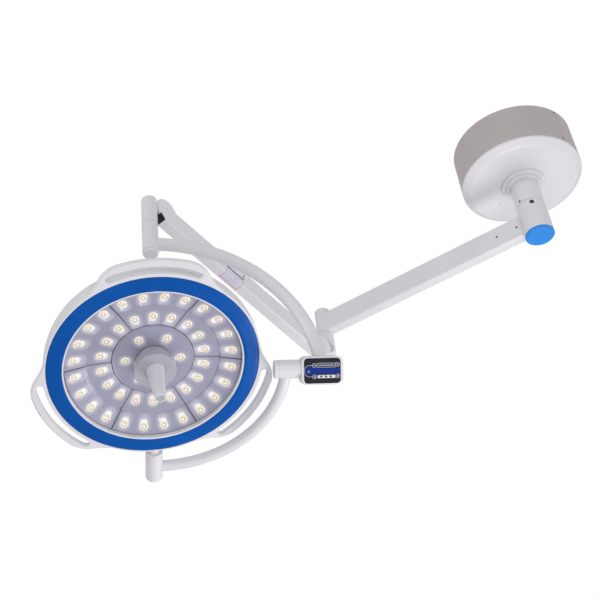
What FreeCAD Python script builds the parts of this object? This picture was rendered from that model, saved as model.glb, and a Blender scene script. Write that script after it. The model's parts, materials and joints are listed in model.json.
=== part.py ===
import FreeCAD
import Part

import math
import os

import Sketcher

# Ceiling-mounted dental operating light.
#
# Frame: origin on the ceiling, at the centre of the anchor plate's top face; +Z up; the extension
# arm reaches along -X. Millimetres. Every piece is modelled in the frame of the joint it belongs to
# and set in place by its Placement.

Vector = FreeCAD.Vector
Placement = FreeCAD.Placement
Rotation = FreeCAD.Rotation

DIMENSIONS = [
    # ceiling fixing
    ("plate_radius", 150, "anchor plate radius"),
    ("plate_thick", 12, "anchor plate thickness"),
    ("cable_hole_radius", 30, "cable hole through the anchor plate"),
    ("anchor_circle", 120, "radius of the ceiling bolt circle"),
    ("anchor_hole_radius", 5.5, "ceiling bolt hole radius"),
    ("stud_circle", 85, "radius of the levelling stud circle"),
    ("stud_radius", 6, "levelling stud radius"),
    ("stud_length", 74, "levelling stud length below the plate"),
    ("flange_top", 52, "drop tube flange, depth of its top face"),
    ("flange_thick", 12, "drop tube flange thickness"),
    ("flange_radius", 102, "drop tube flange radius"),
    # canopy
    ("canopy_radius", 219, "canopy outer radius"),
    ("canopy_wall", 2.5, "canopy wall"),
    ("canopy_side", 157, "canopy side wall, depth of its lower edge"),
    ("canopy_floor", 181, "canopy flat underside, depth"),
    ("canopy_flat_radius", 196, "canopy flat underside, radius"),
    ("seam_heading", -20.5, "heading of the seam between the canopy shells, degrees"),
    ("collar_radius", 80, "collar, lower step"),
    ("collar_upper_radius", 67, "collar, lowest step"),
    # column
    ("column_radius", 51.8, "drop tube and hub outer radius"),
    ("column_wall", 6, "drop tube wall"),
    ("column_seam", 298, "depth of the joint between tube and hub"),
    ("seam_gap", 1.2, "open line between tube and hub, and between the canopy shells"),
    ("hub_end", 424, "depth of the hub's lower edge"),
    ("hub_cap_thick", 10, "blue hub cap thickness"),
    ("swivel_radius", 24, "column swivel shaft radius"),
    ("swivel_bore", 15, "cable way in the swivel shaft"),
    # extension arm
    ("arm_reach", 900, "column axis to elbow axis"),
    ("arm_drop", 366, "ceiling to the extension arm's centre line"),
    ("arm_height", 89, "extension arm section height"),
    ("arm_width", 43, "extension arm section width"),
    ("arm_corner", 8, "extension arm corner radius"),
    ("tube_wall", 3.5, "arm tube wall"),
    ("spindle_radius", 29.8, "elbow spindle housing radius"),
    ("spindle_rise", 70, "elbow housing top above the arm's centre line"),
    ("elbow_seam", 45, "extension arm's centre line to the elbow housing's lower edge"),
    ("elbow_shaft_radius", 15, "elbow shaft radius"),
    # spring arm
    ("spring_bearing", 81.7, "spring arm's turn from the extension arm, degrees"),
    ("spring_pitch", 813, "elbow pivot to end pivot"),
    ("spring_rise", 16, "spring arm's rise, degrees"),
    ("elbow_offset", 41, "elbow axis to elbow pivot"),
    ("elbow_drop", 122, "extension arm's centre line to the elbow pivot"),
    ("end_offset", 61, "end pivot to end spindle axis"),
    ("knuckle_radius", 40, "round ends of the spring arm"),
    ("spring_width", 42.6, "spring arm section width"),
    ("spring_top", 16.3, "spring arm top face above the pivot line"),
    ("spring_base", 56.2, "spring arm lower face below the pivot line"),
    ("tongue_half", 8, "half thickness of the pivot tongues"),
    ("tongue_height", 18, "half height of the pivot tongues"),
    ("link_drop", 26, "link pivot below arm pivot"),
    ("pivot_pin_radius", 6, "arm pivot pin radius"),
    ("link_pin_radius", 4, "link pin radius"),
    ("running_gap", 0.05, "radial clearance of a running fit"),
    # end spindle and outer yoke
    ("end_radius", 26.7, "end spindle radius"),
    ("end_shaft_radius", 13, "end spindle shaft radius"),
    ("sleeve_top", 96.5, "lock sleeve top below the end pivot"),
    ("yoke_hub_top", 126.6, "yoke hub top below the end pivot"),
    ("yoke_hub_end", 218.5, "yoke hub lower edge below the end pivot"),
    ("gimbal_drop", 693, "end pivot to the gimbal centre"),
    ("yoke_bearing", 41, "heading of the tilt axis, degrees from +X"),
    ("outer_yoke_radius", 510, "outer yoke centre line radius"),
    ("outer_yoke_tube", 21.3, "outer yoke tube radius"),
    ("box_width", 132, "control box width"),
    ("box_height", 87, "control box height"),
    ("box_half_depth", 28, "control box half depth"),
    ("box_corner", 20, "control box corner radius"),
    ("box_reach", 506.5, "gimbal centre to the control box centre"),
    ("box_lean", 38, "control panel faces this far below level, degrees"),
    ("keypad_width", 113, "keypad width"),
    ("keypad_height", 77, "keypad height"),
    ("keypad_corner", 12, "keypad corner radius"),
    ("button_radius", 4.6, "button radius"),
    # inner yoke
    ("yoke_tilt", 70.7, "lower pivot's swing from straight down, degrees"),
    ("pivot_setback", 35, "lower pivot axis behind the tilt axis"),
    ("pivot_shift", 5.2, "head centre short of the tilt axis, along the lower pivot"),
    ("inner_yoke_radius", 399.4, "inner yoke centre line radius"),
    ("inner_yoke_tube", 17.8, "inner yoke tube radius"),
    ("barrel_radius", 28.7, "tilt barrel radius"),
    ("barrel_start", 361, "tilt barrel inner end from the gimbal centre"),
    ("barrel_end", 433.4, "tilt barrel outer end"),
    ("tilt_shaft_radius", 10, "tilt and pivot shaft radius"),
    ("pivot_radius", 27.5, "lower pivot barrel radius"),
    ("pivot_start", 342, "lower pivot barrel inner end"),
    ("pivot_end", 455, "lower pivot barrel outer end"),
    # lamp head
    ("head_turn", 4.8, "head's turn about the lower pivot, degrees"),
    ("head_depth", 21, "lower pivot axis behind the head's front rim"),
    ("rim_radius", 326, "head rim radius"),
    ("bezel_outer", 320, "blue bezel outer radius"),
    ("bezel_inner", 273, "blue bezel inner radius"),
    ("bezel_lift", 3.2, "bezel inner edge stands this far forward"),
    ("grip_radius", 375, "finger grip outer radius"),
    ("grip_slot_outer", 354, "finger slot outer radius"),
    ("grip_slot_inner", 331, "finger slot inner radius"),
    ("grip_half_angle", 16, "half of the finger grip's full-radius arc, degrees"),
    ("grip_shoulder", 90, "finger grip shoulder radius"),
    ("grip_root", 200, "finger grip root radius"),
    ("slot_half_angle", 22, "half of the finger slot, degrees"),
    ("grip_back", 19, "finger grip's back face behind the front rim"),
    ("grip_front", 0.5, "finger grip's front face behind the front rim"),
    ("lamp_ring_outer", 241, "outer lamp circle radius"),
    ("lamp_ring_inner", 160.5, "inner lamp circle radius"),
    ("lamp_ring_centre", 84, "centre lamp circle radius"),
    ("lens_radius", 12.5, "lamp lens radius"),
    ("cup_radius", 64, "handle cup radius"),
    ("grip_base", 27, "handle grip radius at the cup"),
    ("grip_tip", 16, "handle grip radius at the tip"),
    ("grip_reach", 148, "handle tip in front of the head's rim"),
]


class Size:
    """A number that remembers the spreadsheet expression it comes from."""

    def __init__(self, number, text):
        self.number = float(number)
        self.text = text

    def combine(self, other, sign, number):
        right = other.text if isinstance(other, Size) else repr(float(other))
        return Size(number, f"({self.text} {sign} {right})")

    def __add__(self, other):
        return self.combine(other, "+", self.number + float(other))

    def __sub__(self, other):
        return self.combine(other, "-", self.number - float(other))

    def __mul__(self, other):
        return self.combine(other, "*", self.number * float(other))

    def __truediv__(self, other):
        return self.combine(other, "/", self.number / float(other))

    def __neg__(self):
        return self * -1

    def __radd__(self, other):
        return self + other

    def __rsub__(self, other):
        return -self + other

    def __rmul__(self, other):
        return self * other

    def __float__(self):
        return self.number


class Sizes:
    """The driving dimensions as attributes."""


doc = FreeCAD.newDocument("dental_light")
sheet = doc.addObject("Spreadsheet::Sheet", "dims")
d = Sizes()
for row, (alias, number, note) in enumerate(DIMENSIONS, 1):
    sheet.set(f"A{row}", note)
    sheet.set(f"B{row}", str(number))
    sheet.setAlias(f"B{row}", alias)
    setattr(d, alias, Size(number, f"dims.{alias}"))
doc.recompute()

UP = Vector(0, 0, 1)
PIN_FIT = 0.01
LENGTHWAYS = Rotation(Vector(0, 1, 0), 90)
SIDEWAYS = Rotation(Vector(1, 0, 0), -90)
parts = {}


# ---------------------------------------------------------------- helpers


def at(x=0, y=0, z=0, rotation=None):
    return Placement(Vector(float(x), float(y), float(z)), rotation or Rotation())


def spin(angle, axis=UP):
    return Placement(Vector(), Rotation(axis, float(angle)))


def frame(origin, x_axis, y_axis):
    """Placement whose local X and Y lie along the given directions."""
    z_axis = x_axis.cross(y_axis)
    rows = zip(x_axis, y_axis, z_axis, origin)
    values = [value for row in rows for value in row]
    return Placement(FreeCAD.Matrix(*values, 0, 0, 0, 1))


def bind(obj, **properties):
    for name, value in properties.items():
        if isinstance(value, Size):
            obj.setExpression(name, value.text)
        else:
            setattr(obj, name, value)
    return obj


def primitive(kind, placement, **properties):
    obj = doc.addObject(f"Part::{kind}", kind)
    obj.Placement = placement or Placement()
    return bind(obj, **properties)


def cylinder(radius, height, placement=None, **more):
    return primitive("Cylinder", placement, Radius=radius, Height=height, **more)


def rod(radius, start, end, across=None):
    """Cylinder along X from start to end."""
    place = at(start, rotation=LENGTHWAYS)
    return cylinder(radius, end - start, across.multiply(place) if across else place)


def cross_pin(radius, half_length, placement=None):
    """Cylinder along Y, centred."""
    place = (placement or Placement()).multiply(at(0, -float(half_length), 0, SIDEWAYS))
    return cylinder(radius, 2 * half_length, place)


def block(size_x, size_y, size_z, centre_x=0, centre_y=0, centre_z=0, placement=None):
    corner = at(
        float(centre_x) - float(size_x) / 2,
        float(centre_y) - float(size_y) / 2,
        float(centre_z) - float(size_z) / 2,
    )
    place = placement.multiply(corner) if placement else corner
    return primitive("Box", place, Length=size_x, Width=size_y, Height=size_z)


def fuse(*shapes):
    obj = doc.addObject("Part::MultiFuse", "Fusion")
    obj.Shapes = list(shapes)
    return obj


def cut(base, *tools):
    obj = doc.addObject("Part::Cut", "Cut")
    obj.Base = base
    obj.Tool = tools[0] if len(tools) == 1 else fuse(*tools)
    return obj


def group(shapes):
    obj = doc.addObject("Part::Compound", "Group")
    obj.Links = shapes
    return obj


def plane_of(body, role):
    return next(item for item in body.Origin.OriginFeatures if item.Role == role)


def fix_point(sketch, element, position, x, y):
    """Hold a sketch point at (x, y) measured from the sketch's origin."""
    for kind, value, axis in (("DistanceX", x, -2), ("DistanceY", y, -1)):
        if abs(float(value)) < 1e-9:
            sketch.addConstraint(Sketcher.Constraint("PointOnObject", element, position, axis))
            continue
        index = sketch.addConstraint(
            Sketcher.Constraint(kind, -1, 1, element, position, float(value))
        )
        if isinstance(value, Size):
            sketch.setExpression(f"Constraints[{index}]", value.text)


def corner_sketch(body, role, corners):
    """Closed outline through corners (x, y) or (x, y, round radius), each held to the sheet."""
    sketch = body.newObject("Sketcher::SketchObject", "Sketch")
    sketch.AttachmentSupport = [(plane_of(body, role), "")]
    sketch.MapMode = "FlatFace"
    points = [Vector(float(c[0]), float(c[1]), 0) for c in corners]
    count = len(points)
    starts = list(points)
    ends = list(points)
    for i, corner in enumerate(corners):
        if len(corner) > 2:
            back = (points[i - 1] - points[i]).normalize()
            ahead = (points[(i + 1) % count] - points[i]).normalize()
            trim = float(corner[2]) / math.tan(back.getAngle(ahead) / 2)
            ends[i] = points[i] + back * trim
            starts[i] = points[i] + ahead * trim
    lines = [
        sketch.addGeometry(Part.LineSegment(starts[i], ends[(i + 1) % count]))
        for i in range(count)
    ]
    for i, corner in enumerate(corners):
        before = lines[i - 1]
        after = lines[i]
        if len(corner) == 2:
            sketch.addConstraint(Sketcher.Constraint("Coincident", before, 2, after, 1))
            fix_point(sketch, after, 1, corner[0], corner[1])
            continue
        radius = float(corner[2])
        inward = ((ends[i] + starts[i]) * 0.5 - points[i]).normalize()
        half = math.asin(min(1.0, (ends[i] - starts[i]).Length / 2 / radius))
        centre = points[i] + inward * (radius / math.cos(half))
        middle = centre - inward * radius
        arc = sketch.addGeometry(Part.Arc(ends[i], middle, starts[i]))
        first = 1 if sketch.getPoint(arc, 1).distanceToPoint(ends[i]) < 1e-6 else 2
        sketch.addConstraint(Sketcher.Constraint("Tangent", before, 2, arc, first))
        sketch.addConstraint(Sketcher.Constraint("Tangent", after, 1, arc, 3 - first))
        index = sketch.addConstraint(Sketcher.Constraint("Radius", arc, radius))
        if isinstance(corner[2], Size):
            sketch.setExpression(f"Constraints[{index}]", corner[2].text)
        point = sketch.addGeometry(Part.Point(points[i]), True)
        sketch.addConstraint(Sketcher.Constraint("PointOnObject", point, 1, before))
        sketch.addConstraint(Sketcher.Constraint("PointOnObject", point, 1, after))
        fix_point(sketch, point, 1, corner[0], corner[1])
    return sketch


def turned(corners, angle=360):
    """Body of revolution about Z from its half section (radius, height)."""
    body = doc.addObject("PartDesign::Body", "Body")
    sketch = corner_sketch(body, "XZ_Plane", corners)
    solid = body.newObject("PartDesign::Revolution", "Revolution")
    solid.Profile = sketch
    solid.ReferenceAxis = (sketch, ["V_Axis"])
    solid.Angle = angle
    body.Tip = solid
    return body


def padded(corners, depth):
    """Body extruded upwards from an outline."""
    body = doc.addObject("PartDesign::Body", "Body")
    sketch = corner_sketch(body, "XY_Plane", corners)
    solid = body.newObject("PartDesign::Pad", "Pad")
    solid.Profile = sketch
    bind(solid, Length=depth)
    body.Tip = solid
    return body


def rounded_rectangle(width, height, corner):
    half_w = width / 2
    half_h = height / 2
    return [
        (-half_w, -half_h, corner),
        (half_w, -half_h, corner),
        (half_w, half_h, corner),
        (-half_w, half_h, corner),
    ]


def rounded(base, radius, chosen):
    """Fillet of the edges of base that chosen(edge) picks."""
    doc.recompute()
    obj = doc.addObject("Part::Fillet", "Fillet")
    obj.Base = base
    edges = base.Shape.Edges
    obj.Edges = [(i + 1, radius, radius) for i, edge in enumerate(edges) if chosen(edge)]
    return obj


def along_x(edge):
    return abs(edge.tangentAt(edge.FirstParameter).x) > 0.99


def polar(length, angle):
    """Point at a distance and an angle (radians) in the XY plane."""
    return Vector(length * math.cos(angle), length * math.sin(angle), 0)


def part(name, obj, placement=None):
    """Name a finished piece and set it in place."""
    obj.Label = name
    obj.Placement = (placement or Placement()).multiply(obj.Placement)
    parts[name] = obj
    return obj


def whole(name, obj, placement):
    """As part, for a boolean or group whose own Placement starts at the origin."""
    obj.Label = name
    obj.Placement = placement
    parts[name] = obj
    return obj


# ---------------------------------------------------------------- frames

CEILING = Placement()
ELBOW = at(-d.arm_reach, 0, -d.arm_drop, Rotation(UP, 180 + float(d.spring_bearing)))
SPRING = ELBOW.multiply(
    at(d.elbow_offset, 0, -d.elbow_drop, Rotation(Vector(0, 1, 0), -float(d.spring_rise)))
)
rise = math.radians(float(d.spring_rise))
END = ELBOW.multiply(
    at(
        float(d.elbow_offset) + float(d.spring_pitch) * math.cos(rise) + float(d.end_offset),
        0,
        float(d.spring_pitch) * math.sin(rise) - float(d.elbow_drop),
    )
)
GIMBAL = Placement(END.Base - UP * float(d.gimbal_drop), Rotation(UP, float(d.yoke_bearing)))
YOKE = GIMBAL.multiply(spin(90 + float(d.yoke_tilt), Vector(1, 0, 0)))
PIVOT = YOKE.multiply(at(0, d.pivot_shift, -d.pivot_setback))
HEAD = PIVOT.multiply(spin(d.head_turn, Vector(0, 1, 0))).multiply(at(z=d.head_depth))
BOX = GIMBAL.multiply(
    at(d.box_reach, 0, 0, Rotation(Vector(1, 0, 0), 90 + float(d.box_lean)))
).multiply(at(0, -5.5, 0))


# ---------------------------------------------------------------- ceiling mount


def around(count, radius, start=0.0):
    """Placements spaced evenly on a circle, local X pointing outwards."""
    return [
        spin(start + 360.0 * i / count).multiply(at(radius))
        for i in range(count)
    ]


def ceiling_fixing():
    plate = cylinder(d.plate_radius, d.plate_thick)
    cable_hole = cylinder(d.cable_hole_radius, 40, at(z=-10))
    bolt_holes = [
        cylinder(d.anchor_hole_radius, 40, place.multiply(at(z=-10)))
        for place in around(4, d.anchor_circle, 45)
    ]
    whole("ceiling_anchor_plate", cut(plate, cable_hole, *bolt_holes), at(z=-d.plate_thick))
    stud_top = d.plate_thick + d.stud_length
    studs = [
        cylinder(d.stud_radius, d.stud_length, place)
        for place in around(4, d.stud_circle)
    ]
    whole("levelling_studs", group(studs), at(z=-stud_top))
    nuts = []
    for place in around(4, d.stud_circle):
        for height in (float(d.flange_thick), -10):
            spot = place.multiply(at(z=height))
            hexagon = primitive("Prism", spot, Polygon=6, Circumradius=11, Height=10)
            nuts.append(cut(hexagon, cylinder(d.stud_radius, 10, spot)))
    whole("stud_nuts", group(nuts), at(z=-(d.flange_top + d.flange_thick)))


def drop_column():
    bore = d.column_radius - d.column_wall
    bottom = d.column_seam - d.seam_gap / 2
    flange_low = d.flange_top + d.flange_thick
    tube = turned([
        (bore, -bottom),
        (d.column_radius, -bottom),
        (d.column_radius, -flange_low),
        (d.flange_radius, -flange_low),
        (d.flange_radius, -d.flange_top),
        (bore, -d.flange_top),
    ])
    stud_holes = [
        cylinder(d.stud_radius + 0.5, 30, place.multiply(at(z=-flange_low - 5)))
        for place in around(4, d.stud_circle)
    ]
    lock_slot = cylinder(4.5, 9, spin(-113).multiply(at(47, 0, -(d.column_seam - 11), LENGTHWAYS)))
    whole("drop_tube", cut(tube, lock_slot, *stud_holes), CEILING)
    part("swivel_shaft", turned([
        (d.swivel_bore, -404),
        (d.swivel_radius, -404),
        (d.swivel_radius, -290),
        (bore - 0.1, -290),
        (bore - 0.1, -262),
        (d.swivel_bore, -262),
    ]))
    part("shaft_nut", turned([
        (d.swivel_radius, -412),
        (38, -412),
        (38, -402.4),
        (d.swivel_radius, -402.4),
    ]))


def canopy():
    inner = d.canopy_radius - d.canopy_wall
    shell = turned([
        (inner, -d.canopy_side),
        (d.canopy_radius, -d.canopy_side),
        (d.canopy_radius, -2),
        (inner, -2),
    ])
    seam = spin(d.seam_heading)
    for name, side in (("canopy_shell_front", -1), ("canopy_shell_rear", 1)):
        away = seam.multiply(at(0, side * (d.seam_gap / 2 - 250), -100))
        half = cut(shell, block(520, 500, 300, placement=away))
        whole(name, half, CEILING)
    wall = d.canopy_wall
    cover = turned([
        (d.column_radius + 0.4, -d.canopy_floor),
        (d.canopy_flat_radius, -d.canopy_floor, 6),
        (d.canopy_radius, -(d.canopy_side + 7), 8),
        (d.canopy_radius, -(d.canopy_side + 0.4)),
        (inner - 0.3, -(d.canopy_side + 0.4)),
        (inner - 0.3, -(d.canopy_side - 9)),
        (inner - 2.8, -(d.canopy_side - 9)),
        (inner - 2.8, -(d.canopy_side + 7)),
        (d.canopy_flat_radius, -(d.canopy_floor - wall)),
        (d.column_radius + 0.4, -(d.canopy_floor - wall)),
    ])

    def under_head(edge):
        return edge.BoundBox.ZMax < -float(d.canopy_floor) - 1

    heads = [
        rounded(cylinder(5.5, 4, seam.multiply(at(x, 0, -(d.canopy_floor + 2)))), 1.2, under_head)
        for x in (-125, 125)
    ]
    whole("canopy_base_cover", fuse(cover, *heads), CEILING)
    collar = turned([
        (d.column_radius + 0.1, -(d.canopy_floor + 24)),
        (d.collar_upper_radius, -(d.canopy_floor + 24), 3),
        (d.collar_upper_radius, -(d.canopy_floor + 13)),
        (d.collar_radius, -(d.canopy_floor + 13), 4),
        (d.collar_radius, -(d.canopy_floor + 0.1)),
        (d.column_radius + 0.1, -(d.canopy_floor + 0.1)),
    ])
    set_hole = rod(3.5, 68, 90, at(z=-(d.canopy_floor + 6)).multiply(spin(-150)))
    whole("canopy_collar", cut(collar, set_hole), CEILING)
    screws = [
        rod(3.2, d.canopy_radius, d.canopy_radius + 1.4, at(z=-depth).multiply(spin(heading)))
        for depth in (14, 143)
        for heading in (d.seam_heading - 1.6, d.seam_heading + 181.6)
    ]
    whole("canopy_screws", group(screws), CEILING)


def power_supply():
    case = block(110, 60, 44)
    terminals = [
        block(10, 8, 9, centre_x=-36 + 12 * i, centre_y=0, centre_z=26.5)
        for i in range(7)
    ]
    whole("power_supply_box", fuse(case, *terminals), at(0, 128, -134))


# ---------------------------------------------------------------- extension arm


def extension_arm():
    inner_width = d.arm_width - 2 * d.tube_wall
    inner_height = d.arm_height - 2 * d.tube_wall
    spigot_width = inner_width - 0.6
    spigot_height = inner_height - 0.6

    hub = turned([
        (30, -d.hub_end),
        (d.column_radius, -d.hub_end),
        (d.column_radius, -(d.column_seam + d.seam_gap / 2)),
        (30, -(d.column_seam + d.seam_gap / 2)),
    ])
    spigot = rounded(
        block(125, spigot_width, spigot_height, -107.5, 0, -d.arm_drop), 4.5, along_x
    )
    nut_room = cylinder(44, 30, at(z=-432))
    bore = cylinder(30, 200, at(z=-500))
    cable_way = rod(11, -200, -20, at(z=-d.arm_drop))
    brake_hole = rod(8.5, 33, 60, at(z=-(d.column_seam + 15)).multiply(spin(-67)))
    hub_solid = cut(fuse(hub, spigot), nut_room, bore, cable_way, brake_hole)
    whole("hub_housing", hub_solid, CEILING)

    part("hub_cap", turned([
        (0, -(d.hub_end + d.hub_cap_thick)),
        (d.column_radius - 4, -(d.hub_end + d.hub_cap_thick)),
        (d.column_radius, -(d.hub_end + d.hub_cap_thick - 4)),
        (d.column_radius, -(d.hub_end + 0.2)),
        (43.6, -(d.hub_end + 0.2)),
        (43.6, -(d.hub_end - 6)),
        (0, -(d.hub_end - 6)),
    ]))

    bushes = []
    for low, high in ((-402, -372), (-330, -299)):
        outer = cylinder(29.9, high - low, at(z=low))
        bushes.append(cut(outer, cylinder(d.swivel_radius + d.running_gap, 60, at(z=low - 10))))
    for low in (-409, -340):
        outer = cylinder(20.9, 28, at(-d.arm_reach, 0, low))
        hole = cylinder(d.elbow_shaft_radius + d.running_gap, 60, at(-d.arm_reach, 0, low - 10))
        bushes.append(cut(outer, hole))
    whole("swivel_bushes", group(bushes), CEILING)

    outer = padded(rounded_rectangle(d.arm_height, d.arm_width, d.arm_corner), 836)
    inner = padded(rounded_rectangle(inner_height, inner_width, 4.5), 860)
    inner.Placement = at(z=-5)
    tube = cut(outer, inner)
    tube.Placement = at(-882, 0, -d.arm_drop, LENGTHWAYS)
    screw_spots = [(x, side) for x in (-66, -144) for side in (-1, 1)]
    holes = [
        cylinder(5, 8, at(x, side * 14.0 if side > 0 else -22.0, -d.arm_drop, SIDEWAYS))
        for x, side in screw_spots
    ]
    column_room = cylinder(d.column_radius + 0.2, 300, at(z=-500))
    elbow_room = cylinder(d.spindle_radius + 0.2, 300, at(-d.arm_reach, 0, -500))
    whole("extension_arm_tube", cut(tube, column_room, elbow_room, *holes), CEILING)

    screws = []
    for x, side in screw_spots:
        start = 18.0 if side > 0 else -20.8
        head = cylinder(4.7, 2.8, at(x, start, -d.arm_drop, SIDEWAYS))
        socket = at(x, side * 20.8 - 0.9, -d.arm_drop, SIDEWAYS)
        screws.append(cut(head, primitive("Prism", socket, Polygon=6, Circumradius=2.6, Height=1.8)))
    whole("arm_screws", group(screws), CEILING)

    top = d.arm_drop - d.spindle_rise
    housing = turned([
        (21, -(d.arm_drop + d.elbow_seam)),
        (d.spindle_radius, -(d.arm_drop + d.elbow_seam), 3),
        (d.spindle_radius, -top, 9),
        (0, -top),
        (0, -(top + 12)),
        (21, -(top + 12)),
    ])
    housing.Placement = at(-d.arm_reach)
    elbow_spigot = rounded(
        block(110, spigot_width, spigot_height, -820, 0, -d.arm_drop), 4.5, along_x
    )
    elbow_bore = cylinder(21, 99, at(-d.arm_reach, 0, -(d.arm_drop + d.elbow_seam)))
    cable = rod(11, -880, -700, at(z=-d.arm_drop))
    whole("spindle_housing", cut(fuse(housing, elbow_spigot), elbow_bore, cable), CEILING)


# ---------------------------------------------------------------- elbow and spring arm


def pivot_tongue(side):
    """Plate that carries an arm pivot and, below it, the link pivot.

    Its origin is the arm pivot; side is the direction of the spindle it grows from.
    """
    height = d.tongue_height
    reach = 34
    plate = block(reach, 2 * d.tongue_half, 2 * height, side * reach / 2, 0, 0)
    round_end = cross_pin(height, d.tongue_half)
    lug = block(16, 2 * d.tongue_half, d.link_drop, 0, 0, -d.link_drop / 2)
    lug_end = cross_pin(8, d.tongue_half, at(z=-d.link_drop))
    return fuse(plate, round_end, lug, lug_end)


def tongue_holes(pivot):
    """Holes for the arm pin and the link pin of the tongue at pivot."""
    return [
        cross_pin(d.pivot_pin_radius, 20, pivot),
        cross_pin(d.link_pin_radius, 20, pivot.multiply(at(z=-d.link_drop))),
    ]


def pivot_pins():
    main = cross_pin(d.pivot_pin_radius - PIN_FIT, 20)
    link = cylinder(d.link_pin_radius - PIN_FIT, 24, at(0, -8, -d.link_drop, SIDEWAYS))
    return group([main, link])


def elbow_bracket():
    foot = -(d.elbow_drop + 15)
    shoulder = -(d.elbow_seam + 0.5)
    stub = turned([
        (0, foot),
        (d.spindle_radius, foot, 5),
        (d.spindle_radius, shoulder, 2),
        (d.elbow_shaft_radius, shoulder),
        (d.elbow_shaft_radius, 54),
        (0, 54),
    ])
    pivot = at(d.elbow_offset, 0, -d.elbow_drop)
    seat = cross_pin(d.knuckle_radius + 0.7, 40, pivot)
    tongue = pivot_tongue(-1)
    tongue.Placement = pivot
    solid = cut(fuse(cut(stub, seat), tongue), *tongue_holes(pivot))
    whole("elbow_bracket", solid, ELBOW)
    whole("elbow_pins", pivot_pins(), ELBOW.multiply(pivot))


def knuckle_outline(inset):
    """Side outline of the spring arm, inset from its skin, as a closed wire in the XZ plane."""
    radius = float(d.knuckle_radius) - inset
    top = float(d.spring_top) - inset
    base = -float(d.spring_base) + inset
    length = float(d.spring_pitch)
    toe = 8.0 + inset * 0.5
    lean = math.radians(50)
    crown = Vector(radius * math.cos(lean), 0, radius * math.sin(lean))
    run = (crown.z - top) / math.tan(math.pi / 2 - lean)
    brow = Vector(crown.x + run, 0, top)
    far = math.hypot(toe, base)
    bearing = math.atan2(base, toe) - math.acos(radius / far)
    heel = Vector(radius * math.cos(bearing), 0, radius * math.sin(bearing))
    foot = Vector(toe, 0, base)

    def mirror(point):
        return Vector(length - point.x, 0, point.z)

    back = Vector(-radius, 0, 0)
    edges = [
        Part.Arc(heel, back, crown).toShape(),
        Part.LineSegment(crown, brow).toShape(),
        Part.LineSegment(brow, mirror(brow)).toShape(),
        Part.LineSegment(mirror(brow), mirror(crown)).toShape(),
        Part.Arc(mirror(crown), mirror(back), mirror(heel)).toShape(),
        Part.LineSegment(mirror(heel), mirror(foot)).toShape(),
        Part.LineSegment(mirror(foot), foot).toShape(),
        Part.LineSegment(foot, heel).toShape(),
    ]
    return Part.Wire(edges)


def knuckle_plate(inset, half_width):
    """Extrusion of the spring arm's side outline."""
    outline = doc.addObject("Part::Feature", "Outline")
    outline.Shape = knuckle_outline(inset)
    solid = doc.addObject("Part::Extrusion", "Extrusion")
    solid.Base = outline
    solid.DirMode = "Custom"
    solid.Dir = Vector(0, 1, 0)
    solid.LengthFwd = half_width
    solid.LengthRev = half_width
    solid.Solid = True
    return solid


def spring_arm():
    half = float(d.spring_width) / 2
    skin = rounded(
        knuckle_plate(0.0, half),
        6.0,
        lambda edge: abs(abs(edge.CenterOfMass.y) - half) < 1e-6,
    )
    wall = float(d.tube_wall)
    cavity = knuckle_plate(wall, half - wall)
    length = d.spring_pitch
    slot_width = 2 * (d.tongue_half + 0.5)
    slots = [
        block(36, slot_width, 110, x, 0, -10) for x in (-32, float(length) + 32)
    ]
    pin_holes = [
        cross_pin(d.pivot_pin_radius + d.running_gap, 20.2, at(x)) for x in (0, length)
    ]
    screw_spots = [(x, side) for x in (0, float(length)) for side in (-1, 1)]
    recesses = []
    screws = []
    for x, side in screw_spots:
        start = side * half - 0.6
        recesses.append(cylinder(2.4, 1.2, at(x, start, 0, SIDEWAYS)))
        low = half - 0.55 if side > 0 else -half - 0.05
        screws.append(cylinder(2.3, 0.6, at(x, low, 0, SIDEWAYS)))
    tube = cut(skin, cavity, *slots, *pin_holes, *recesses)
    whole("spring_arm_tube", tube, SPRING)
    whole("knuckle_screws", group(screws), SPRING)

    case = rod(12.5, 120, 560, at(0, -4.5, -7))
    piston = rod(5, 560, 700, at(0, -4.5, -7))
    mounts = [block(14, 24, 19, x, -4.5, -7) for x in (113, 707)]
    whole("spring_cartridge", fuse(case, piston, *mounts), SPRING)


def link_rod():
    """Parallel link inside the arm, modelled from its elbow pin."""
    length = d.spring_pitch
    side = 12
    bar = block(length - 10, 6, 9, length / 2, side, 0)
    eyes = [
        cross_pin(7.5, 3, at(x, side)) for x in (0, length)
    ]
    elbow_hole = cross_pin(d.link_pin_radius + d.running_gap, 10, at(0, side))
    end_hole = cross_pin(d.link_pin_radius + 0.6, 10, at(length, side))
    solid = cut(fuse(bar, *eyes), elbow_hole, end_hole)
    place = ELBOW.multiply(at(d.elbow_offset, 0, -(d.elbow_drop + d.link_drop)))
    lift = spin(-float(d.spring_rise), Vector(0, 1, 0))
    whole("link_rod", solid, place.multiply(lift))


# ---------------------------------------------------------------- end spindle


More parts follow.
